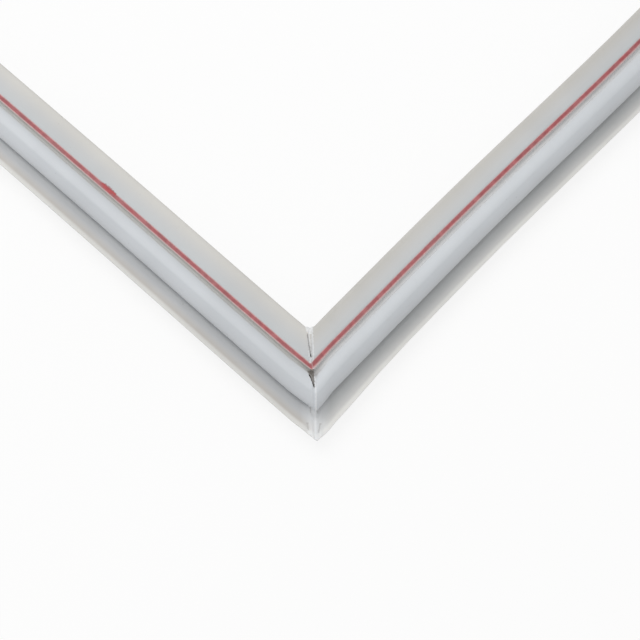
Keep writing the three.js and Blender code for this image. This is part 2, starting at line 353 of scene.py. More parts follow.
def select_where(obj, kind, test):
    """In edit mode, selects the vertices or edges of obj that pass a test."""
    mesh = bmesh.from_edit_mesh(obj.data)
    bpy.ops.mesh.select_mode(type=kind)
    bpy.ops.mesh.select_all(action="DESELECT")
    for element in mesh.verts if kind == "VERT" else mesh.edges:
        element.select = test(element)
    mesh.select_flush_mode()
    bmesh.update_edit_mesh(obj.data, loop_triangles=False, destructive=False)


def bezier(start, near, far, end, steps):
    """Points of a curve between two section points, without the first."""
    knots = [Vector((s, z, 0)) for s, z in (start, near, far, end)]
    return [p.to_2d() for p in interpolate_bezier(*knots, steps + 1)[1:]]


def bow(start, pull, end, steps):
    """Points of a curve with one handle, without the first."""
    near = [a + (b - a) * 2 / 3 for a, b in zip(start, pull)]
    far = [a + (b - a) * 2 / 3 for a, b in zip(end, pull)]
    return bezier(start, near, far, end, steps)


def arc(centre, radius, first, last, steps):
    """Points of an arc, with angles in degrees."""
    turns = [math.radians(first + (last - first) * i / steps) for i in range(steps + 1)]
    return [(centre[0] + radius * math.cos(a), centre[1] + radius * math.sin(a)) for a in turns]


def beside(line, distance):
    """The line moved to its left by a distance."""
    moved = []
    for i, p in enumerate(line):
        along = (line[min(i + 1, len(line) - 1)] - line[max(i - 1, 0)]).normalized()
        moved.append(Vector((p.x - along.y * distance, p.y + along.x * distance)))
    return moved


def spaced(points, least=0.05 * MM):
    """The points as vectors, without those that lie too close to the one before."""
    kept = []
    for p in map(Vector, points):
        if not kept or (p - kept[-1]).length > least:
            kept.append(p)
    return kept


def draw_loop(name, points):
    """Draws a closed outline by extruding one vertex from point to point."""
    bpy.ops.mesh.primitive_plane_add(size=MM, location=points[0])
    obj = named(name)
    bpy.ops.object.transform_apply(location=True)
    bpy.ops.object.mode_set(mode="EDIT")
    bpy.ops.mesh.select_mode(type="VERT")
    bpy.ops.mesh.select_all(action="SELECT")
    bpy.ops.mesh.merge(type="CENTER")
    for here, there in zip(points, points[1:] + points[:1]):
        bpy.ops.mesh.extrude_vertices_move(TRANSFORM_OT_translate={"value": there - here})
    bpy.ops.mesh.select_all(action="SELECT")
    bpy.ops.mesh.remove_doubles(threshold=0.01 * MM)
    return obj


def round_sharp_points(obj, radius, least=math.radians(35)):
    """Rounds the corners of a drawn outline."""

    def sharp(vertex):
        a, b = (edge.other_vert(vertex).co - vertex.co for edge in vertex.link_edges)
        return math.pi - a.angle(b) > least

    select_where(obj, "VERT", sharp)
    bpy.ops.mesh.bevel(offset=radius, segments=2, affect="VERTICES")


def note_across(obj, start):
    """Stores each outline vertex's place along the outline, from 0 to 1, as the attribute across."""
    mesh = obj.data
    links = {i: [] for i in range(len(mesh.vertices))}
    for edge in mesh.edges:
        a, b = edge.vertices
        links[a].append(b)
        links[b].append(a)
    first = min(links, key=lambda i: (mesh.vertices[i].co - start).length)
    towards = max(links[first], key=lambda i: mesh.vertices[i].co.x)
    walk = [first, towards]
    while len(walk) < len(links):
        walk.append(next(i for i in links[walk[-1]] if i != walk[-2]))
    places = [0.0]
    for a, b in zip(walk, walk[1:] + walk[:1]):
        places.append(places[-1] + (mesh.vertices[b].co - mesh.vertices[a].co).length)
    attribute = mesh.attributes.new("across", "FLOAT", "POINT")
    for index, place in zip(walk, places):
        attribute.data[index].value = place / places[-1]


def sweep_ring(name, points, sharp_radius=0.0, hollow=False):
    """Sweeps an outline of section points round the ring, with mitred corners and true side lengths."""
    at = Levels()
    placed = [Vector((math.sqrt(2) * (p.x + at.half_x), 0, p.y)) for p in points]
    obj = draw_loop(name, placed)
    if sharp_radius:
        round_sharp_points(obj, sharp_radius)
    bpy.ops.object.mode_set(mode="OBJECT")
    note_across(obj, placed[0])
    bpy.ops.object.mode_set(mode="EDIT")
    bpy.ops.mesh.select_all(action="SELECT")
    bpy.ops.mesh.spin(steps=4, angle=2 * math.pi, center=(0, 0, 0), axis=(0, 0, 1))
    bpy.ops.mesh.select_all(action="SELECT")
    bpy.ops.mesh.remove_doubles(threshold=0.02 * MM)
    bpy.ops.transform.rotate(value=math.pi / 4, orient_axis="Z", center_override=(0, 0, 0))
    for side in (1, -1):
        select_where(obj, "VERT", lambda v: v.co.y * side > 0)
        bpy.ops.transform.translate(value=(0, side * (at.half_y - at.half_x), 0))
    bpy.ops.mesh.select_all(action="SELECT")
    bpy.ops.mesh.normals_make_consistent(inside=hollow)
    cut_sides(obj, at)
    return obj


# Stretches of each side that are cut across, one after the other: its ends in millimetres off the
# mitre, the cuts between two rings, and whether it lies at the shown corner only
CUTS = ((0, 1000, 23, False), (0, 12, 7, False), (0, 1.2, 11, False), (1.2, 18, 2, True))


def cut_sides(obj, at):
    """Cuts each side into steps that get finer towards the welds, and finest at the shown one."""
    for near, far, cuts, shown_only in CUTS:
        across = bmesh.from_edit_mesh(obj.data).verts.layers.float["across"]

        def runs_along(edge):
            a, b = edge.verts
            x, y, _ = (a.co + b.co) / 2
            if abs(a[across] - b[across]) > 1e-6 or (shown_only and min(x * SHOWN[0], y * SHOWN[1]) < 0):
                return False
            off = ((abs(x) - at.half_x) - (abs(y) - at.half_y)) / math.sqrt(2)
            return near * MM <= abs(off) <= far * MM

        select_where(obj, "EDGE", runs_along)
        bpy.ops.mesh.subdivide(number_cuts=cuts)
    bpy.ops.object.mode_set(mode="OBJECT")


def points_of(obj):
    """The vertices of a mesh as an array."""
    flat = np.empty(len(obj.data.vertices) * 3)
    obj.data.vertices.foreach_get("co", flat)
    return flat.reshape(-1, 3)


def hump(values, middle, reach):
    """1 at the middle, falling smoothly to 0 at the reach to either side."""
    return np.clip(1 - ((values - middle) / reach) ** 2, 0, 1) ** 2


def ramp(values, low, high):
    """0 below low, rising smoothly to 1 above high."""
    share = np.clip((values - low) / (high - low), 0, 1)
    return share * share * (3 - 2 * share)


def apply_modifier(obj, modifier):
    only(obj)
    bpy.ops.object.modifier_apply(modifier=modifier.name)


# Outlines of the section


def dart_side(at):
    dart = settings().dart
    return [
        (dart.tip_width / 2, 0), (dart.barb_span / 2, dart.barb_height), (at.stem, at.barb_top),
        (at.stem, at.fin_bottom), (dart.fin_span / 2, at.fin_bottom + dart.fin_height),
        (at.stem, at.fin_top), (at.stem, at.base_bottom),
    ]


def skirt_lines(at):
    """Underside from the base to the rim, and top side from the rim to the crease."""
    base = settings().base
    reach = (at.trough - at.base_outer) / 2
    turn_up = at.trough + base.rim_width / 2
    under = at.trough_top - base.skirt_thickness
    rim_top = (base.skirt_reach, at.trough_top + base.rim_lift)
    down = bezier((at.base_outer, at.base_bottom), (at.base_outer + reach, at.base_bottom),
                  (at.trough - reach, under), (at.trough, under), 12)
    down += bow((at.trough, under), (turn_up, under), (base.skirt_reach, under + base.rim_lift), 6)
    up = [rim_top] + bow(rim_top, (turn_up, at.trough_top), (at.trough, at.trough_top), 6)
    up += bezier((at.trough, at.trough_top), (at.trough - reach, at.trough_top),
                 (at.base_outer + reach, at.base_top), (at.base_outer, at.base_top), 12)
    return down, up


def bulb_line(at):
    """Outer face of the bulb, from its foot over its crown and down to the valley's floor."""
    bulb = settings().bulb
    rise = at.bulb_widest - at.base_top
    fall = at.bulb_top - at.bulb_widest
    inner_top = at.bulb_top - bulb.lean
    drop = inner_top - at.valley_floor
    width = bulb.valley_width
    foot = Vector((bulb.foot_reach, at.base_top))
    line = [foot]
    line += bezier(foot, (bulb.foot_reach, at.base_top + rise / 2),
                   (at.bulb_reach, at.bulb_widest - rise / 2), (at.bulb_reach, at.bulb_widest), 10)
    line += bezier((at.bulb_reach, at.bulb_widest), (at.bulb_reach, at.bulb_widest + bulb.turn),
                   (at.bulb_shoulder + (at.bulb_reach - at.bulb_shoulder) / 3, at.bulb_top - fall / 8),
                   (at.bulb_shoulder, at.bulb_top), 14)
    line += bow((at.bulb_shoulder, at.bulb_top),
                ((at.bulb_inner + at.bulb_shoulder) / 2, at.bulb_top + bulb.crown),
                (at.bulb_inner, inner_top), 10)
    line += bezier((at.bulb_inner, inner_top), (at.bulb_inner - width / 3, inner_top - drop / 4),
                   (at.bulb_inner - width / 4, at.valley_floor),
                   (at.bulb_inner - width / 2, at.valley_floor), 9)
    return line


def fold_line(at):
    """Middle of the folded wall, from its foot up to the pocket."""
    pocket = settings().pocket
    root = at.pocket_inner + pocket.fold_root
    foot = Vector((-pocket.fold_foot, at.base_top))
    pull = (root - pocket.fold_depth, (at.base_top + at.pocket_bottom) / 2)
    return [foot] + bow(foot, pull, (root, at.pocket_bottom), 12)


def body_outline(at):
    """The whole outside of the section, from the dart's tip outwards and round."""
    base, pocket, marker = settings().base, settings().pocket, settings().marker
    side = dart_side(at)
    down, up = skirt_lines(at)
    r, e = pocket.rounding, pocket.edge_rounding
    fold = beside(fold_line(at), pocket.soft_wall / 2)
    inner = at.pocket_inner + r
    return spaced([
        (0, 0), *side, (at.base_outer, at.base_bottom), *down, *up, *bulb_line(at),
        (at.pocket_outer, at.valley_floor),
        *arc((at.pocket_outer - e, at.pocket_top - e), e, 0, 90, 5),
        (at.marker_outer, at.pocket_top - marker.thickness),
        (at.marker_inner, at.pocket_top - marker.thickness),
        (at.marker_inner, at.pocket_top),
        *((at.marker_inner + (inner - at.marker_inner) * i / 8, at.pocket_top) for i in range(1, 8)),
        *arc((inner, at.pocket_top - r), r, 90, 180, 7),
        *arc((inner, at.pocket_bottom + r), r, 180, 270, 7),
        (fold[-1].x, at.pocket_bottom), *fold[-2:0:-1],
        (at.lip + base.lip_width * 0.55, at.base_bottom + base.lip_tip + 0.4 * MM),
        (at.lip, at.base_bottom + base.lip_tip), (at.lip, at.base_bottom),
        *((-s, z) for s, z in reversed(side)),
    ])


def chamber_outline(at):
    """The air chamber between base, folded wall, pocket and bulb."""
    wall, e = settings().pocket.soft_wall, settings().pocket.edge_rounding
    inner = beside(bulb_line(at), wall)
    fold = beside(fold_line(at), -wall / 2)
    return spaced([
        (0, at.base_top), (inner[0].x, at.base_top), *inner[1:],
        (at.pocket_outer, at.valley_floor - wall),
        *arc((at.pocket_outer - e, at.pocket_bottom + e), e, 0, -90, 4),
        (fold[-1].x, at.pocket_bottom), *fold[-2:0:-1], (fold[0].x, at.base_top),
    ])


def pocket_outline(at):
    """The hollow that the magnet strips lie in."""
    wall = settings().pocket.wall
    low, high = at.pocket_bottom + wall, at.pocket_top - wall
    left, right = at.pocket_inner + wall, at.pocket_outer - wall
    return spaced([((left + right) / 2, low), (right, low), (right, high), (left, high), (left, low)])


def marker_outline(at):
    """The red line's own section, with its face slightly domed."""
    marker = settings().marker
    low = at.pocket_top - marker.thickness
    middle = (at.marker_inner + at.marker_outer) / 2
    outer_top, pull = (at.marker_outer, at.pocket_top), (middle, at.pocket_top + 2 * marker.crown)
    dome = bow(outer_top, pull, (at.marker_inner, at.pocket_top), 8)
    return spaced([(middle, low), (at.marker_outer, low), outer_top, *dome, (at.marker_inner, low)])


# What bends and welding do to the pieces


# Bows of the right side, of the one across from it and of the one across from the left side: the
# share of the right side's bow, and the place of its middle in millimetres
RIGHT_BOW, OPPOSITE_BOW, FAR_BOW = (1, 5), (0.3, 60), (0.4, -40)

# Waves of the left side: share, and place and reach in metres along X
WAVES = ((1, 0.2, 0.1), (-2, 0.08, 0.11))


def bend(piece):
    """Bends a piece with the sides of the loose ring, by a lattice round the whole ring."""
    at, sizes = Levels(), settings().bend

    def bowed(place, share, middle):
        return share * sizes.bow * hump(place, middle * MM, sizes.bow_reach)

    bpy.ops.object.add(type="LATTICE", location=(0, 0, at.pocket_top / 2))
    cage = bpy.context.object
    cage.scale = (2.1 * CAD_BOX[1].x, 2.1 * CAD_BOX[1].y, 1.2 * at.pocket_top)
    cage.data.points_u = cage.data.points_v = sizes.lattice_points
    cage.data.points_w = 2
    for point in cage.data.points:
        x, y = point.co.x * cage.scale.x, point.co.y * cage.scale.y
        out_x = bowed(y, *(RIGHT_BOW if x * SHOWN[0] > 0 else OPPOSITE_BOW))
        if y * SHOWN[1] > 0:
            out_y = sizes.wave * sum(share * hump(x, place, reach) for share, place, reach in WAVES)
        else:
            out_y = bowed(x, *FAR_BOW)
        shift = Vector((out_x * math.copysign(1, x), out_y * math.copysign(1, y)))
        moved = Vector((x + shift.x, y + shift.y, point.co.z * cage.scale.z))
        point.co_deform = [place / scale for place, scale in zip(moved, cage.scale)]
    bpy.context.view_layer.update()
    modifier = piece.modifiers.new("bend", "LATTICE")
    modifier.object = cage
    apply_modifier(piece, modifier)
    bpy.data.objects.remove(cage)


def places_of(points, at):
    """For an array of points: s, z and the distance off the nearest mitre."""
    x, y, z = points.T
    out_x, out_y = np.abs(x) - at.half_x, np.abs(y) - at.half_y
    return np.maximum(out_x, out_y), z, (out_x - out_y) / math.sqrt(2)


# Over which stretch, in s, the weld's seam moves aside, and where it comes back a little
SEAM_LEAVES, SEAM_RETURNS = (-5 * MM, 1 * MM), (9 * MM, 18 * MM)
SEAM_FIRST, SEAM_BACK = 0.15, 0.3

# Puckers of the skirt: place off the mitre and reach in millimetres, share of the dents' depth
PUCKERS = ((-3.2, 1.1, 1.0), (2.9, 1.2, 0.8))

# Dents of the parted weld: place and reach along the mitre, place and reach off it, in millimetres
WELD_DENTS = ((-0.6, 2.6, -0.15, 1.9), (2.6, 3.6, -0.2, 0.9))


class ShownCorner:
    """The points of a piece, and where each lies at the shown corner."""

    def __init__(self, obj):
        at = self.at = Levels()
        self.obj, self.points = obj, points_of(obj)
        self.s, self.z, nearest = places_of(self.points, at)
        x, y = self.points[:, 0] * SHOWN[0], self.points[:, 1] * SHOWN[1]
        self.off = np.where((x > 0) & (y > 0), nearest, 1.0)
        self.along = (x - at.half_x + y - at.half_y) / math.sqrt(2)
        # The two sides, each fading out where it nears its far corner
        turn = np.tanh(nearest / (0.3 * MM)) / 2
        from_y = self.s - np.abs(y) + at.half_y < 2 * MM
        self.on_left = (0.5 - turn) * ramp(x, -at.half_x, -0.1) * (y > 0) * from_y
        self.on_right = (0.5 + turn) * ramp(y, -at.half_y, -0.1) * (x > 0)

    def move(self, amount, x=0, y=0, z=0):
        """Moves the points outwards along X and Y, and up."""
        self.points += amount[:, None] * (x * SHOWN[0], y * SHOWN[1], z)

    def fill_inner_corner(self, weld):
        """The web of flash in the ring's inner corner."""
        at, edge = self.at, 1.3 * MM
        web = hump(self.off, 0, weld.web_reach) * np.clip((at.pocket_inner + edge - self.s) / edge, 0, 1)
        web *= np.clip((self.z - at.pocket_bottom) / (2 * MM), 0, 1)
        self.move(-web * weld.web_depth / math.sqrt(2), 1, 1)
        self.move(web * np.clip((self.z - at.pocket_top) / MM + 1, 0, 1) * weld.web_lift, z=1)

    def shift_line(self, marker):
        """The red lines of the two sides miss each other, and come true again far from the corner."""
        at = self.at
        near = hump(self.s, (at.marker_inner + at.marker_outer) / 2, 4.2 * MM)
        near *= ramp(self.z, at.valley_floor - 0.2 * MM, at.pocket_top - 0.4 * MM)
        self.move(near * marker.shift_left * self.on_left, y=1)
        self.move(near * marker.shift_right * self.on_right, x=1)

    def fill_crease(self, weld):
        """PVC that has run into the crease between bulb and skirt, up to a sagging slope."""
        at, s, z = self.at, self.s, self.z
        start, start_top = at.bulb_reach - 0.2 * MM, at.bulb_widest - 1.2 * MM
        end, end_top = at.base_outer + 3.4 * MM, at.trough_top + 0.55 * MM
        share = np.clip((s - start) / (end - start), 0, 1)
        slope = start_top + (end_top - start_top) * share - 0.5 * MM * np.sin(math.pi * share)
        below = (z > at.base_top - 1.3 * MM) & (z < at.bulb_widest)
        below &= s > settings().bulb.foot_reach - 0.3 * MM
        lift = np.where(below, np.clip(slope - z, 0, None), 0)
        self.move(0.9 * lift * hump(self.off, -0.6 * MM, weld.fill_reach), z=1)

    def shape_skirt(self, weld):
        """The skirt bulges out beside the corner and puckers in it."""
        at, off = self.at, self.off
        reach = settings().base.skirt_reach - at.base_outer
        skirt = np.clip((self.s - at.base_outer) / reach, 0, 1) ** 1.5
        skirt *= self.z < at.base_top + 0.2 * MM
        rise = 0.65 * ramp(off, -5 * MM, 0) + 0.35 * ramp(off, 0, weld.flare_place)
        self.move(skirt * (rise - ramp(off, weld.flare_place, weld.flare_reach)) * weld.flare, x=1)
        self.move(skirt * self.on_left * weld.skirt_out, y=1)
        dents = sum(share * hump(off, place * MM, width * MM) for place, width, share in PUCKERS)
        self.move(-skirt * skirt * dents * weld.dent_depth, z=1)

    def sink_weld(self, weld):
        """The parted weld has sunk between the line and the bulb."""
        dents = [hump(self.along, a * MM, long * MM) * hump(self.off, b * MM, wide * MM)
                 for a, long, b, wide in WELD_DENTS]
        over = self.z > self.at.valley_floor - 0.3 * MM
        self.move(over * np.maximum(*dents) * -weld.tear_depth, z=1)

    def move_seam(self, weld):
        """The seam runs a little to the right of the mitre, most under the bulb and the skirt."""
        aside = weld.aside * hump(self.off, 0, 11 * MM)
        aside *= SEAM_FIRST + (1 - SEAM_FIRST) * ramp(self.s, *SEAM_LEAVES)
        aside *= 1 - SEAM_BACK * ramp(self.s, *SEAM_RETURNS)
        self.move(aside / math.sqrt(2), 1, -1)

    def finish(self):
        self.obj.data.vertices.foreach_set("co", self.points.ravel())
        self.obj.data.update()


def shape_shown_corner(obj):
    """Moves the points of the shown corner as its weld has left them."""
    weld = settings().weld
    corner = ShownCorner(obj)
    corner.fill_inner_corner(weld)
    corner.shift_line(settings().marker)
    corner.fill_crease(weld)
    corner.shape_skirt(weld)
    corner.sink_weld(weld)
    corner.move_seam(weld)
    corner.finish()


def raise_ridges(obj, at, marks):
    """Raises the ridge of flash along each mitre, on the faces that the eye meets."""
    weld = settings().weld
    points = points_of(obj)
    _, _, off = places_of(points, at)
    across = np.empty(len(points), np.float32)
    obj.data.attributes["across"].data.foreach_get("value", across)
    over_bulb = (across > marks["rim"]) & (across < marks["crown"])
    over_pocket = (across > marks["marker_inner"]) & (across < marks["pocket_side"])
    weight = over_bulb * hump(off, 0, weld.ridge_width)
    weight += over_pocket * hump(np.abs(off), weld.twin_spread, weld.twin_width)
    group = obj.vertex_groups.new(name="ridge")
    for index in np.nonzero(weight > 0.01)[0]:
        ragged = 0.8 + 0.45 * noise.noise(Vector(points[index]) * 700)
        group.add([int(index)], float(min(1, weight[index] * ragged)), "REPLACE")
    modifier = obj.modifiers.new("ridge", "DISPLACE")
    modifier.direction = "NORMAL"
    modifier.mid_level = 0
    modifier.strength = weld.ridge_height
    modifier.vertex_group = group.name
    apply_modifier(obj, modifier)


# Slit in the pocket: shares of its length from the inner end, and shares of its half width there
SLIT_SHAPE = ((0, 0.3), (0.25, 0.7), (0.5, 0.6), (0.8, 1), (0.95, 1.3))

# Hole through the pocket's wall at the slit's outer end: millimetres before that end, share of the
# slit's length that gives its line, and shares of its half width beside that line
PARTED_SHAPE = ((3.0, 0.75, -0.3), (0.5, 0.96, -0.8), (0.2, 1.0, 0.0), (0.9, 0.93, 0.8))

# Hole in the valley, in millimetres along the mitre and off it
TEAR_SHAPE = ((-1.5, -1.3), (-1.2, -0.8), (-0.3, -0.45), (1.0, -0.15), (2.6, 0.3), (3.8, 0.75), (5.0, 0.9),
              (5.3, 0.75), (4.6, 0.45), (3.4, 0.15), (1.8, -0.2), (0.4, -0.65), (-0.8, -1.3))


def weld_cuts(at):
    """Name, outline and bottom of each cut that the parted weld of the shown corner leaves."""
    weld, wall = settings().weld, settings().pocket.wall
    half, first, last = weld.slit_width / 2, -weld.slit_start, -weld.slit_end

    def line(share):
        """How far the slit lies off the mitre."""
        return -weld.slit_beside + (weld.slit_beside + weld.slit_over) * share ** 1.3

    edges = [[(first + (last - first) * share, line(share) + side * width * half)
              for share, width in SLIT_SHAPE] for side in (-1, 1)]
    slit = edges[0] + [(last, line(1))] + edges[1][::-1]
    parted = [(last - before * MM, line(share) + width * half) for before, share, width in PARTED_SHAPE]
    tear = [(along * MM, off * MM) for along, off in TEAR_SHAPE]
    return (
        ("slit", slit, at.pocket_top - 0.5 * wall),
        ("parted_wall", parted, at.pocket_top - 1.6 * wall),
        ("tear", tear, at.valley_floor - wall - 2.4 * MM),
    )


def part_weld(obj, at):
    """Cuts the slit and the holes of the parted weld."""
    out = Vector((SHOWN[0], SHOWN[1], 0)).normalized()
    aside = Vector((-out.y, out.x, 0))
    corner = Vector((SHOWN[0] * at.half_x, SHOWN[1] * at.half_y, 0))
    for name, outline, bottom in weld_cuts(at):
        cutter = draw_loop(name, [corner + out * a + aside * b + Vector((0, 0, bottom)) for a, b in outline])
        bpy.ops.mesh.edge_face_add()
        height = at.pocket_top + 1.5 * MM - bottom
        bpy.ops.mesh.extrude_region_move(TRANSFORM_OT_translate={"value": (0, 0, height)})
        bpy.ops.mesh.select_all(action="SELECT")
        bpy.ops.mesh.normals_make_consistent(inside=False)
        bpy.ops.object.mode_set(mode="OBJECT")
        modifier = obj.modifiers.new(name, "BOOLEAN")
        modifier.operation = "DIFFERENCE"
        modifier.solver = "EXACT"
        modifier.object = cutter
        apply_modifier(obj, modifier)
        bpy.data.objects.remove(cutter)
    only(obj)
    bpy.ops.object.mode_set(mode="EDIT")
    bpy.ops.mesh.select_all(action="SELECT")
    bpy.ops.mesh.remove_doubles(threshold=0.004 * MM)
    # Points in the middle of a straight edge would give slivers
    select_where(obj, "VERT", lambda v: len(v.link_edges) == 2 and v.calc_edge_angle(0) < math.radians(5))
    bpy.ops.mesh.dissolve_verts()
    bpy.ops.object.mode_set(mode="OBJECT")


# Tools for materials


def arithmetic(operation):
    """A method of Field that adds one Math node."""
    return lambda field, other: field.nodes.math(operation, field, other)


class Field:
    """A value that changes over a surface. Arithmetic with it adds Math nodes."""

    __add__ = arithmetic("ADD")
    __sub__ = arithmetic("SUBTRACT")
    __mul__ = arithmetic("MULTIPLY")
    __truediv__ = arithmetic("DIVIDE")

    # The larger of two masks, and 1 where the value is above or below a limit, otherwise 0
    __or__ = arithmetic("MAXIMUM")
    above = arithmetic("GREATER_THAN")
    below = arithmetic("LESS_THAN")

    def __init__(self, nodes, socket):
        self.nodes, self.socket = nodes, socket

    def __rsub__(self, other):
        return self.nodes.math("SUBTRACT", other, self)

    def __abs__(self):
        return self.nodes.math("ABSOLUTE", self)

    def fade(self, reach):
        """1 where the value is 0, falling to 0 at the reach."""
        return self.nodes.math("SUBTRACT", 1.0, self / reach, clamp=True)

    def span(self, low, high, to_low=0.0, to_high=1.0, kind="SMOOTHSTEP"):
        """Carries the stretch from low to high over to another one, smoothly."""
        values = {"Value": self, "From Min": low, "From Max": high, "To Min": to_low, "To Max": to_high}
        return self.nodes.field("ShaderNodeMapRange", 0, values, interpolation_type=kind)


class Nodes:
    """Adds nodes to a node tree, side by side, with their values and links."""

    def __init__(self, tree):
        self.tree = tree
        self.count = 0

    def add(self, kind, values=None, **options):
        node = self.tree.nodes.new(kind)
        node.location = (220 * (self.count % 8) - 900, 300 - 240 * (self.count // 8))
        self.count += 1
        for name, value in options.items():
            setattr(node, name, value)
        for key, value in (values or {}).items():
            self.give(node.inputs[key], value)
        return node

    def give(self, socket, value):
        """Links a field to a socket, or sets the socket's own value."""
        if isinstance(value, Field):
            self.tree.links.new(value.socket, socket)
        else:
            socket.default_value = value

    def field(self, kind, output, values=None, **options):
        return Field(self, self.add(kind, values, **options).outputs[output])

    def math(self, operation, *values, clamp=False):
        return self.field("ShaderNodeMath", 0, dict(enumerate(values)), operation=operation, use_clamp=clamp)

    def mix(self, share, a, b, blend="MIX"):
        """One colour mixed into another. Sockets 0, 6 and 7 are the share and the two colours."""
        return self.field("ShaderNodeMix", 2, {0: share, 6: a, 7: b}, data_type="RGBA", blend_type=blend)

    def layered(self, coloured, *layers):
        """A colour with others mixed over it in turn, each given as its mask and its colour."""
        for mask, tone in layers:
            coloured = self.mix(mask, coloured, tone)
        return coloured

    def shaded(self, coloured, value):
        """A colour made lighter or darker by a value."""
        grey = self.field("ShaderNodeCombineXYZ", 0, {0: value, 1: value, 2: value})
        return self.mix(1.0, coloured, grey, "MULTIPLY")

    def noise(self, place, scale, detail=2.0, roughness=0.5, **values):
        values = {"Vector": place, "Scale": scale, "Detail": detail, "Roughness": roughness, **values}
        return self.field("ShaderNodeTexNoise", "Fac", values)

    def across(self):
        """Place along the section's outline, from 0 to 1."""
        return self.field("ShaderNodeAttribute", "Fac", attribute_name="across")

    def place(self):
        return self.field("ShaderNodeTexCoord", "Object")

    def parts(self, place):
        """The x, y and z of a place."""
        return [Field(self, part) for part in self.add("ShaderNodeSeparateXYZ", {0: place}).outputs]

    def colours_along(self, place, stops):
        """Colours that change from one stop to the next."""
        node = self.add("ShaderNodeValToRGB", {"Fac": place})
        elements = node.color_ramp.elements
        elements[0].position, elements[1].position = stops[0][0], stops[-1][0]
        elements[0].color, elements[1].color = stops[0][1], stops[-1][1]
        for spot, tone in stops[1:-1]:
            elements.new(spot).color = tone
        return Field(self, node.outputs["Color"])

    def cover(self, shader, coloured, height, strength, distance):
        """Gives a shader its colour and its bumps."""
        values = {"Height": height, "Strength": strength, "Distance": distance}
        self.give(shader.inputs["Base Color"], coloured)
        self.give(shader.inputs["Normal"], self.field("ShaderNodeBump", "Normal", values))

    def use(self, effect, **values):
        """Places an effect's node group with its values, and gives the group's outputs by name."""
        name = effect.__name__.replace("_", " ").capitalize()
        tree = bpy.data.node_groups.get(name) or effect_group(name, effect, values)
        node = self.add("ShaderNodeGroup", values, node_tree=tree)
        return {output.name: Field(self, output) for output in node.outputs}

    def seen_rays(self):
        """1 for the rays that show the background itself: camera, glossy and transmission rays."""
        path = self.add("ShaderNodeLightPath").outputs
        camera, glossy, through = (
            Field(self, path[f"Is {kind} Ray"]) for kind in ("Camera", "Glossy", "Transmission")
        )
        return camera | glossy | through


def effect_group(name, effect, labels):
    """A node group with named inputs, whose named outputs are what the effect gives back."""
    tree = bpy.data.node_groups.new(name, "ShaderNodeTree")
    nodes = Nodes(tree)
    for label in labels:
        tree.interface.new_socket(label, in_out="INPUT", socket_type="NodeSocketFloat")
    given = nodes.add("NodeGroupInput").outputs
    results = effect(nodes, *(Field(nodes, given[label]) for label in labels))
    for label in results:
        tree.interface.new_socket(label, in_out="OUTPUT", socket_type="NodeSocketFloat")
    ends = nodes.add("NodeGroupOutput").inputs
    for label, field in results.items():
        nodes.give(ends[label], field)
    return tree


# Effects that the materials share


def extrusion_lines(nodes, fineness, stretch):
    """Fine streaks that the die leaves along the profile, and a slow change of tone."""
    place = nodes.place()
    x, y, _ = nodes.parts(place)
    stretched = {"X": nodes.across() * fineness, "Y": x * stretch, "Z": y * stretch}
    streaks = nodes.noise(nodes.field("ShaderNodeCombineXYZ", 0, stretched), 1.0, 3.0, 0.6)
    return {"Streaks": streaks, "Tone": nodes.noise(place, 26.0)}


# Patches at the shown corner, in millimetres: start and end along the mitre, and the patch's middle
# off the mitre and its half width, each at both ends
SUNK_PATCH = (-3.2, 5.4, (-0.4, 0.85), (1.5, 0.12))
SLIT_PATCH = (-20.6, -8.9, (-1.25, 0.1), (0.1, 0.3))
WEB_PATCH = (-24.5, -20.6, (-0.3, 0.0), (1.9, 0.9))
# Spots of painted shade where the creases end and in the skirt's puckers
SHADE_SPOTS = (
    (10.8, 13.8, (-0.9, -1.0), (0.4, 0.2)), (11.0, 14.4, (2.2, 2.3), (0.45, 0.25)),
    (18.4, 21.8, (-2.5, -2.2), (0.4, 0.25)), (19.0, 23.2, (3.3, 2.4), (0.4, 0.25)),
)


def weld_zone(nodes, half_x, half_y, valley_floor, aside, width, spread, fade):
    """Masks of the seams, of the patches at the shown corner and of the sides that run along X."""
    place = nodes.place()
    x, y, z = nodes.parts(place)
    out_x, out_y = abs(x) - half_x, abs(y) - half_y
    off, along = (out_x - out_y) / math.sqrt(2), (out_x + out_y) / math.sqrt(2)
    here = (x * SHOWN[0]).above(0.0) * (y * SHOWN[1]).above(0.0)
    leaves, returns = ([math.sqrt(2) * s for s in stretch] for stretch in (SEAM_LEAVES, SEAM_RETURNS))
    drift = aside * (along.span(*leaves, SEAM_FIRST, 1.0) + along.span(*returns, 0.0, -SEAM_BACK))
    from_seam = abs(off - drift * here)
    ragged = nodes.noise(place, 900.0, 2.0, 0.6)
    uneven = width * ragged.span(0.3, 0.7, 0.55, 1.35)
    rough_edge = ragged.span(0.3, 0.7, -0.2 * MM, 0.2 * MM)

    def patch(start, end, middles, halves):
        middle, half = (
            along.span(start * MM, end * MM, ends[0] * MM, ends[1] * MM, kind="LINEAR")
            for ends in (middles, halves)
        )
        inside = (abs(off - middle) - half + rough_edge).span(0.3 * MM, -0.2 * MM)
        begun = along.span((start - 0.5) * MM, start * MM)
        return inside * begun * along.span((end + 0.3) * MM, end * MM)

    shown_top = here * z.above(valley_floor - 4 * MM)
    shade_spots = patch(*SHADE_SPOTS[0])
    for smudge in SHADE_SPOTS[1:]:
        shade_spots = shade_spots | patch(*smudge)
    return {
        "Seam": from_seam.fade(uneven),
        "Twin seam": abs(from_seam - spread).fade(uneven * 1.3),
        "Shown corner": from_seam.fade(fade) * here,
        # The sunk patch round the parted weld, and painted shade beside the slit
        "Tear": (patch(*SUNK_PATCH) | patch(*SLIT_PATCH) * 0.6) * shown_top,
        "Web": patch(*WEB_PATCH) * shown_top,
        "Shade spots": shade_spots * here,
        "Along X": off.span(2 * MM, -2 * MM),
    }


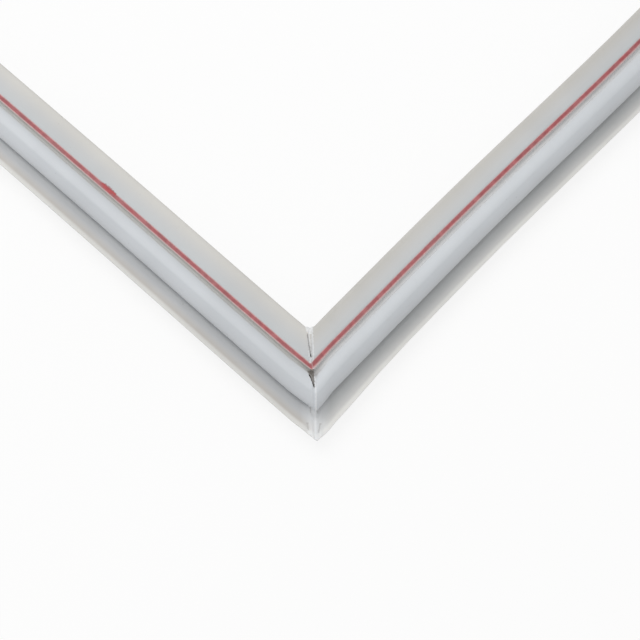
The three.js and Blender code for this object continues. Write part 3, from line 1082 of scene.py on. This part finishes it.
def red_blot(nodes, place_x, place_y, half_length, half_width):
    """A blot where the red compound has run out of its line."""
    place = nodes.place()
    x, y, _ = nodes.parts(place)
    over_x, over_y = (x - place_x) / half_length, (y - place_y) / half_width
    ragged = nodes.noise(place, 700.0, 2.0, 0.6).span(0.3, 0.7, -0.35, 0.35)
    return {"Blot": (over_x * over_x + over_y * over_y + ragged).span(1.0, 0.3)}


def handling_marks(nodes, speck_size, scuff_size):
    """Sparse faint specks and scuffs from handling."""
    place = nodes.place()
    chosen = nodes.noise(place, 90.0, 1.0).span(0.62, 0.7)
    spots = nodes.field("ShaderNodeTexVoronoi", "Distance", {"Vector": place, "Scale": speck_size})
    rub = nodes.noise(place, scuff_size, 6.0, 0.7, Distortion=1.2)
    return {"Specks": chosen * spots.span(0.16, 0.05), "Scuffs": rub.span(0.56, 0.78)}


def shared_effects(nodes):
    """The outputs of all effects that both kinds of PVC have, with this gasket's values."""
    at, weld, marker = Levels(), settings().weld, settings().marker
    blot_y = SHOWN[1] * (at.half_y + at.marker_inner + marker.blot_inward)
    return {
        **nodes.use(extrusion_lines, fineness=900.0, stretch=9.0),
        **nodes.use(weld_zone, half_x=at.half_x, half_y=at.half_y, valley_floor=at.valley_floor,
                    aside=weld.aside, width=weld.ridge_width, spread=weld.twin_spread, fade=7 * MM),
        **nodes.use(red_blot, place_x=marker.blot_place, place_y=blot_y,
                    half_length=marker.blot_length, half_width=marker.blot_width),
        **nodes.use(handling_marks, speck_size=260.0, scuff_size=60.0),
    }


def new_material(name, roughness, specular=0.5):
    """A material with one Principled shader, and a helper for its nodes."""
    material = bpy.data.materials.new(name)
    material.use_nodes = True
    shader = material.node_tree.nodes["Principled BSDF"]
    shader.inputs["Roughness"].default_value = roughness
    shader.inputs["Specular IOR Level"].default_value = specular
    return material, shader, Nodes(material.node_tree)


# The gasket's materials


def section_marks(at, points):
    """Where the section's places lie along its outline, from 0 to 1."""
    base, pocket, bulb = settings().base, settings().pocket, settings().bulb
    places = [0.0]
    for a, b in zip(points, points[1:] + points[:1]):
        places.append(places[-1] + (b - a).length)

    def place(s, z):
        here = Vector((s, z))
        nearest = min(range(len(points)), key=lambda i: (points[i] - here).length)
        return places[nearest] / places[-1]

    return {
        "under_skirt": place(at.base_outer, at.base_bottom),
        "rim": place(base.skirt_reach, at.trough_top + base.rim_lift),
        "trough": place(at.trough, at.trough_top),
        "hollow": place(at.bulb_reach + 1.5 * MM, at.base_top - base.skirt_droop / 2),
        "crease": place(at.base_outer, at.base_top),
        "foot": place(bulb.foot_reach, at.base_top),
        "waist": place(at.bulb_reach, at.bulb_widest),
        "shoulder": place(at.bulb_shoulder, at.bulb_top),
        "crown": place((at.bulb_inner + at.bulb_shoulder) / 2, at.bulb_top),
        "bulb_inner": place(at.bulb_inner, at.bulb_top - bulb.lean),
        "valley": place(at.pocket_outer, at.valley_floor),
        "marker_outer": place(at.marker_outer, at.pocket_top),
        "marker_inner": place(at.marker_inner, at.pocket_top),
        "band": place((at.marker_inner + at.pocket_inner) / 2, at.pocket_top),
        "pocket_edge": place(at.pocket_inner + pocket.rounding, at.pocket_top),
        "pocket_side": place(at.pocket_inner, at.pocket_bottom + pocket.height / 2),
        "fold": place(at.pocket_inner + pocket.fold_root, at.pocket_bottom),
    }


def section_tones(marks):
    """Stops across the section: place, colour on sides along X and colour on sides along Y."""
    tones = settings().colours
    rim, line_out, line_in = marks["rim"], marks["marker_outer"], marks["marker_inner"]
    # Painted light: the warm inner edge and the rim, where light shines through thin walls, the lightened
    # flank, and the valley's wall on the sides along Y. Painted shade: the crease, and the darker copies of
    # the inner edge, the valley's wall and the skirt.
    return (
        (0.0, tones.base, tones.base),
        (marks["under_skirt"], tones.skirt_shaded, tones.skirt),
        (rim, tones.rim, tones.rim),
        (rim + 0.014, tones.rim, tones.rim),
        (rim + 0.024, tones.skirt_shaded, tones.skirt),
        (marks["trough"], tones.skirt_shaded, tones.skirt),
        (marks["hollow"], tones.crease_shade_x, tones.crease),
        (marks["crease"], tones.crease_shade_x, tones.crease),
        (marks["foot"], tones.flank, tones.flank),
        (marks["waist"], tones.flank, tones.flank),
        (marks["shoulder"], tones.bulb, tones.bulb),
        (marks["bulb_inner"], tones.bulb, tones.bulb),
        (marks["valley"], tones.valley_shaded, tones.valley),
        (line_out - 0.006, tones.valley_shaded, tones.valley),
        (line_out, tones.stained, tones.stained),
        (line_in, tones.stained, tones.stained),
        (line_in + 0.008, tones.band_cool, tones.band_cool),
        (marks["band"], tones.band, tones.band),
        (marks["pocket_edge"], tones.inner_edge, tones.inner_edge_shaded),
        (marks["pocket_side"], tones.inner_edge, tones.inner_edge_shaded),
        (marks["fold"], tones.base, tones.base),
        (1.0, tones.base, tones.base),
    )


def soft_pvc(marks):
    """Light grey PVC: its tone changes across the section with what lies behind the wall, and with painted
    light and shade.
    """
    tones, stops = settings().colours, section_tones(marks)
    material, shader, nodes = new_material("soft_pvc", 0.42)
    shader.inputs["Subsurface Weight"].default_value = 0.06
    shader.inputs["Subsurface Radius"].default_value = (1.0, 0.9, 0.8)
    shader.inputs["Subsurface Scale"].default_value = 0.6 * MM
    effects, across = shared_effects(nodes), nodes.across()
    streaks, scuffs = effects["Streaks"], effects["Scuffs"]
    # Ramps for the sides along X and along Y: where their copies of a tone differ, that is painted light and
    # shade
    along_x = nodes.colours_along(across, [(place, tone) for place, tone, _ in stops])
    along_y = nodes.colours_along(across, [(place, tone) for place, _, tone in stops])
    cloudy = effects["Tone"].span(0.3, 0.7, 0.97, 1.03) * streaks.span(0.25, 0.75, 0.985, 1.015)
    on_skirt = across.below(marks["foot"])
    on_pocket = across.above(marks["marker_inner"])
    in_valley = across.span(marks["bulb_inner"], marks["valley"])
    in_valley *= across.span(marks["marker_outer"], marks["valley"])
    beads = nodes.mix(on_pocket, effects["Seam"], effects["Twin seam"])
    coloured = nodes.layered(
        nodes.shaded(nodes.mix(effects["Along X"], along_y, along_x), cloudy),
        (effects["Shown corner"] * on_skirt * 0.75, tones.weld),
        (beads * 0.9 | effects["Web"] * 0.7, tones.weld),
        # Painted shade where the creases end and in the skirt's puckers
        (effects["Shade spots"] * on_skirt * 0.3, tones.grime),
        # Painted shade: the valley darkens towards the shown corner
        (effects["Shown corner"] * in_valley * 0.5, tones.grime),
        # Darker over the sunk patch round the parted weld, and painted shade beside the slit
        (effects["Tear"] * 0.85, tones.grime),
        (effects["Blot"] * on_pocket * 0.8, tones.red),
        (effects["Specks"] * 0.22, tones.grime),
        (scuffs * 0.05, tones.grime),
    )
    nodes.give(shader.inputs["Roughness"], streaks.span(0.25, 0.75, 0.36, 0.46) + scuffs * 0.12)
    skin = nodes.noise(nodes.place(), 1400.0)
    nodes.cover(shader, coloured, streaks * 0.7 + skin * 0.3, 0.35, 0.05 * MM)
    return material


def red_pvc():
    """The red compound of the marker line, thin at its edges and with brighter blots."""
    tones = settings().colours
    material, shader, nodes = new_material("red_pvc", 0.42)
    effects, place = shared_effects(nodes), nodes.place()
    streaks, blot = effects["Streaks"], effects["Blot"]
    blots = nodes.noise(place, 95.0, 2.0, 0.6).span(0.58, 0.8) * 0.6 | blot
    frayed = abs(nodes.across() - 0.5) + streaks.span(0.3, 0.7, -0.03, 0.03)
    pale = nodes.noise(place, 170.0, 2.0, 0.6).span(0.35, 0.65, 0.0, 0.13)
    thin = (frayed.span(0.1, 0.26) | pale) * (1.0 - blot)
    patchy = nodes.noise(place, 420.0, 3.0, 0.6).span(0.3, 0.7, 0.82, 1.14)
    coloured = nodes.layered(
        nodes.shaded(nodes.layered(tones.red, (blots, tones.red_bright), (thin, tones.red_edge)), patchy),
        (streaks.span(0.55, 0.8, 0.0, 0.12), tones.rim),
        (effects["Seam"] * 0.2, tones.weld),
        (effects["Specks"] * 0.2, tones.grime),
    )
    nodes.cover(shader, coloured, streaks, 0.3, 0.04 * MM)
    return material


def flexible_magnet():
    """Dark ferrite-filled rubber with a dull grain and rolled streaks."""
    ferrite = settings().colours.ferrite
    material, shader, nodes = new_material("flexible_magnet", 0.62, 0.4)
    place = nodes.place()
    grain, cloud = nodes.noise(place, 2600.0, 3.0, 0.6), nodes.noise(place, 45.0, 3.0, 0.55)
    worn = nodes.field("ShaderNodeHueSaturation", 0, {"Value": 1.7, "Saturation": 0.7, "Color": ferrite})
    clouded, grainy = (cloud.span(0.5, 0.8, 0.0, 0.3), worn), (grain.span(0.45, 0.75, 0.0, 0.35), worn)
    nodes.give(shader.inputs["Roughness"], cloud.span(0.3, 0.7, 0.55, 0.7))
    nodes.cover(shader, nodes.layered(ferrite, grainy, clouded), grain, 0.5, 0.05 * MM)
    return material


# Steps


def hand_over(piece, material, node):
    """Bends a piece with the ring, and gives it its material and its place in the model."""
    bend(piece)
    only(piece)
    bpy.ops.object.shade_smooth_by_angle(angle=SMOOTH_UP_TO)
    piece.data.materials.clear()
    piece.data.materials.append(material)
    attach(piece, BODY)
    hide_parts(node)


class GASKET_OT_body(bpy.types.Operator):
    """Builds the welded ring of hollow PVC profile"""

    bl_idname = "gasket.build_body"
    bl_label = "Gasket body"

    def execute(self, context):
        at = Levels()
        outline = body_outline(at)
        marks = section_marks(at, outline)
        body = sweep_ring("gasket_profile", outline, settings().base.sharp_rounding)
        shape_shown_corner(body)
        raise_ridges(body, at, marks)
        chamber = sweep_ring("chamber", chamber_outline(at), hollow=True)
        pocket = sweep_ring("pocket", pocket_outline(at), settings().pocket.hollow_rounding, hollow=True)
        only(body)
        chamber.select_set(True)
        pocket.select_set(True)
        bpy.ops.object.join()
        part_weld(body, at)
        hand_over(body, soft_pvc(marks), "gasket_body")
        return {"FINISHED"}


class GASKET_OT_marker_line(bpy.types.Operator):
    """Builds the red line that is extruded into the pocket's outer edge"""

    bl_idname = "gasket.build_marker_line"
    bl_label = "Marker line"

    def execute(self, context):
        line = sweep_ring("marker_stripe", marker_outline(Levels()))
        shape_shown_corner(line)
        hand_over(line, red_pvc(), "marker_line")
        return {"FINISHED"}


class GASKET_OT_magnet_strips(bpy.types.Operator):
    """Builds the flexible magnet strips that lie in the pocket"""

    bl_idname = "gasket.build_magnet_strips"
    bl_label = "Magnet strips"

    def execute(self, context):
        magnet, ferrite = settings().magnet, flexible_magnet()
        for node in STRIPS:
            low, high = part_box(node)
            size = high - low
            long_way = size.to_tuple().index(max(size))
            bpy.ops.mesh.primitive_cube_add(size=1, location=(low + high) / 2, scale=size)
            strip = named(node.replace("magnet_strip", "magnet"))
            bpy.ops.object.transform_apply(location=True, scale=True)
            bpy.ops.object.mode_set(mode="EDIT")
            select_where(strip, "EDGE", lambda e: abs((e.verts[1].co - e.verts[0].co)[long_way]) > 10 * MM)
            bpy.ops.mesh.subdivide(number_cuts=magnet.steps)
            select_where(strip, "EDGE", lambda e: e.calc_face_angle(0) > math.radians(60))
            bpy.ops.mesh.bevel(offset=magnet.edge, segments=2, affect="EDGES")
            bpy.ops.object.mode_set(mode="OBJECT")
            hand_over(strip, ferrite, node)
        return {"FINISHED"}


class GASKET_OT_stage(bpy.types.Operator):
    """Sets the pale floor, the soft light and the camera of the photo"""

    bl_idname = "gasket.set_stage"
    bl_label = "Stage"

    def execute(self, context):
        make_floor()
        make_lamp()
        make_world()
        make_camera()
        bpy.context.scene.view_settings.view_transform = "Standard"
        return {"FINISHED"}


def make_floor():
    stage, tones = settings().stage, settings().colours
    bpy.ops.mesh.primitive_plane_add(size=stage.floor_size, location=(0, 0, 0))
    floor = named("floor")
    material, shader, nodes = new_material("pale_floor", 0.8, 0.2)
    mottle = nodes.noise(nodes.place(), 6.0, 3.0).span(0.3, 0.7, 0.0, 0.25)
    nodes.give(shader.inputs["Base Color"], nodes.mix(mottle, tones.floor, tones.floor_light))
    lit = Field(nodes, shader.outputs[0])
    white = nodes.field("ShaderNodeEmission", 0, {"Color": (1, 1, 1, 1), "Strength": 1.0})
    shown = nodes.field("ShaderNodeMixShader", 0, {0: nodes.seen_rays() * stage.glow, 1: lit, 2: white})
    nodes.give(nodes.tree.nodes["Material Output"].inputs["Surface"], shown)
    floor.data.materials.append(material)


def view_axes():
    """The camera's right, up and back directions."""
    stage = settings().stage
    back = Vector((
        math.sin(stage.azimuth) * math.cos(stage.elevation),
        -math.cos(stage.azimuth) * math.cos(stage.elevation),
        math.sin(stage.elevation),
    ))
    level = Vector((math.cos(stage.azimuth), math.sin(stage.azimuth), 0))
    right = level * math.cos(stage.roll) + back.cross(level) * math.sin(stage.roll)
    return right, back.cross(right), back


def make_camera():
    stage, at = settings().stage, Levels()
    right, up, back = view_axes()
    corner_x = SHOWN[0] * (at.half_x + at.pocket_inner)
    corner_y = SHOWN[1] * (at.half_y + at.pocket_inner)
    aim = Vector((corner_x - stage.aim_back, corner_y + stage.aim_up, 0))
    bpy.ops.object.camera_add()
    camera = named("photo_camera")
    turned = Matrix((right, up, back)).transposed().to_4x4()
    turned.translation = aim + back * stage.distance
    camera.matrix_world = turned
    camera.data.sensor_width = 36
    camera.data.lens = stage.lens
    camera.data.clip_start = 10 * MM
    camera.data.dof.use_dof = False
    bpy.context.scene.camera = camera


def make_lamp():
    stage = settings().stage
    right, up, back = view_axes()
    aside = right * math.cos(stage.key_turn) + up * math.sin(stage.key_turn)
    towards = back * math.cos(stage.key_tilt) + aside * math.sin(stage.key_tilt)
    bpy.ops.object.light_add(type="AREA", location=towards * stage.key_distance)
    lamp = named("key_light")
    lamp.rotation_euler = towards.to_track_quat("Z", "Y").to_euler()
    lamp.data.size = stage.key_size
    lamp.data.energy = stage.key_power


def make_world():
    """White to the camera, and a softer light from all round to everything else."""
    fill = settings().stage.fill
    world = bpy.data.worlds.new("studio")
    bpy.context.scene.world = world
    world.use_nodes = True
    nodes = Nodes(world.node_tree)
    ground = world.node_tree.nodes["Background"]
    ground.inputs["Color"].default_value = (1, 1, 1, 1)
    nodes.give(ground.inputs["Strength"], nodes.seen_rays() * (1.0 - fill) + fill)


class GASKET_PT_panel(bpy.types.Panel):
    """The gasket's steps and sizes"""

    bl_label = "Door gasket"
    bl_idname = "GASKET_PT_panel"
    bl_space_type = "VIEW_3D"
    bl_region_type = "UI"
    bl_category = "Door gasket"

    def draw(self, context):
        for operator in STEPS:
            self.layout.operator(operator.bl_idname)
        for name in GasketSettings.__annotations__:
            box = self.layout.box()
            box.label(text=name.capitalize())
            part = getattr(context.scene.door_gasket, name)
            for size in type(part).__annotations__:
                box.prop(part, size, text=size.replace("_", " ").capitalize())


SIZES = (DartSizes, BaseSizes, PocketSizes, BulbSizes, MarkerSizes, MagnetSizes, WeldSizes, BendSizes,
         MaterialColours, StageSettings, GasketSettings)
STEPS = (GASKET_OT_body, GASKET_OT_marker_line, GASKET_OT_magnet_strips, GASKET_OT_stage)


def register():
    for cls in (*SIZES, *STEPS, GASKET_PT_panel):
        bpy.utils.register_class(cls)
    bpy.types.Scene.door_gasket = PointerProperty(type=GasketSettings)


def unregister():
    del bpy.types.Scene.door_gasket
    for cls in reversed((*SIZES, *STEPS, GASKET_PT_panel)):
        bpy.utils.unregister_class(cls)


def main():
    register()
    bpy.ops.gasket.build_body()
    bpy.ops.gasket.build_marker_line()
    bpy.ops.gasket.build_magnet_strips()
    bpy.ops.gasket.set_stage()


if __name__ == "__main__":
    main()
